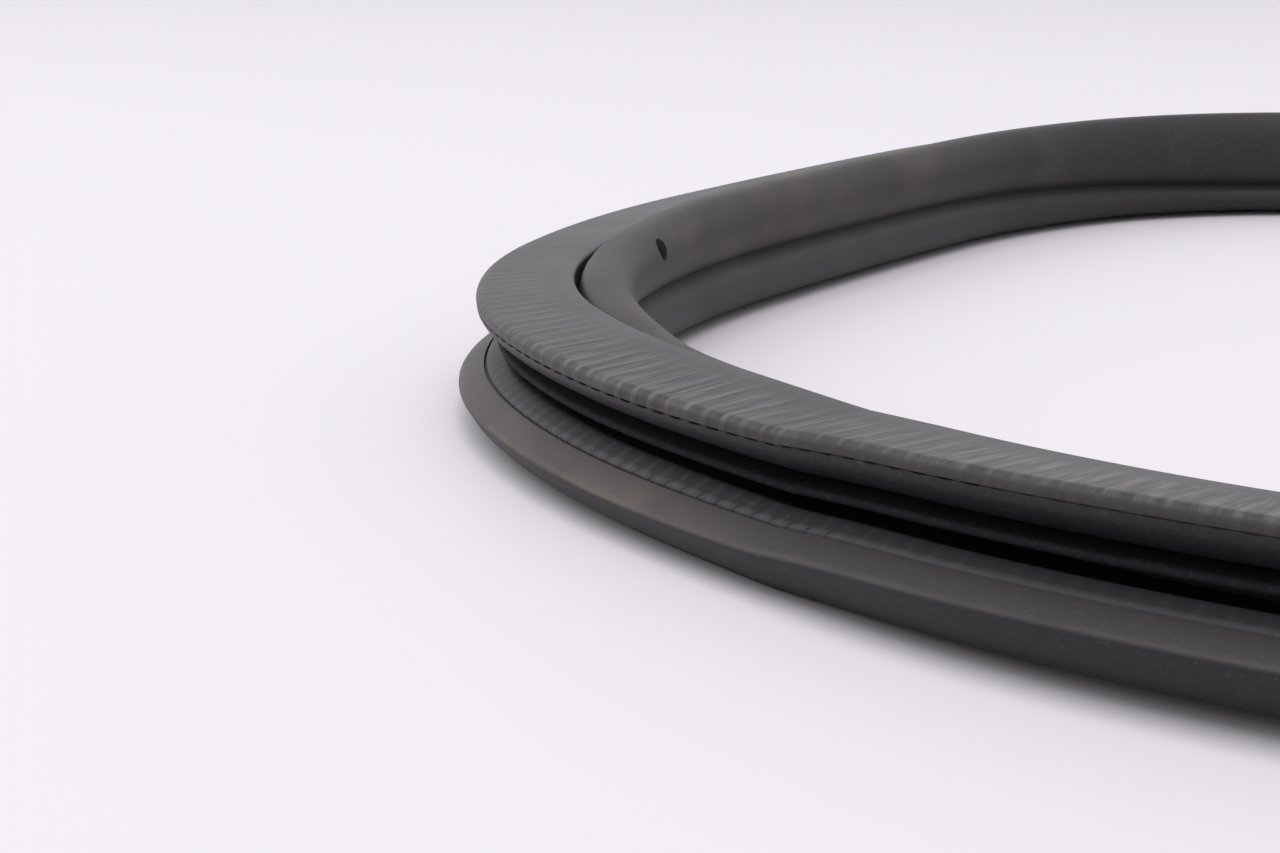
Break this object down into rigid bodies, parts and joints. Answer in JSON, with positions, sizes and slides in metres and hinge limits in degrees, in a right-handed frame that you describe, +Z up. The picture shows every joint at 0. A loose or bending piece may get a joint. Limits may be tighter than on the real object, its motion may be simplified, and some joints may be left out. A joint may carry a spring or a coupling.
{
  "type": "door weatherstrip",
  "caption": "Closed loop of rubber door seal: a grip channel that pushes on to a body flange, a flat ribbed top leg, a flared lower leg and a hollow sealing bulb with vent holes.",
  "frame": {"origin": "centre of the bounding box in plan, at the surface that the loop lies on", "axes": "+X along the loop's length, from the tight bend to the round end; +Y from the near strand to the far one; +Z up"},
  "size_m": [1.2416, 0.5262, 0.0225],
  "materials": {
    "rubber": "matt black extruded rubber, worn grey, with fine cross ribs"
  },
  "bodies": {
    "root": {"weatherstrip": "rubber"}
  },
  "joints": []
}
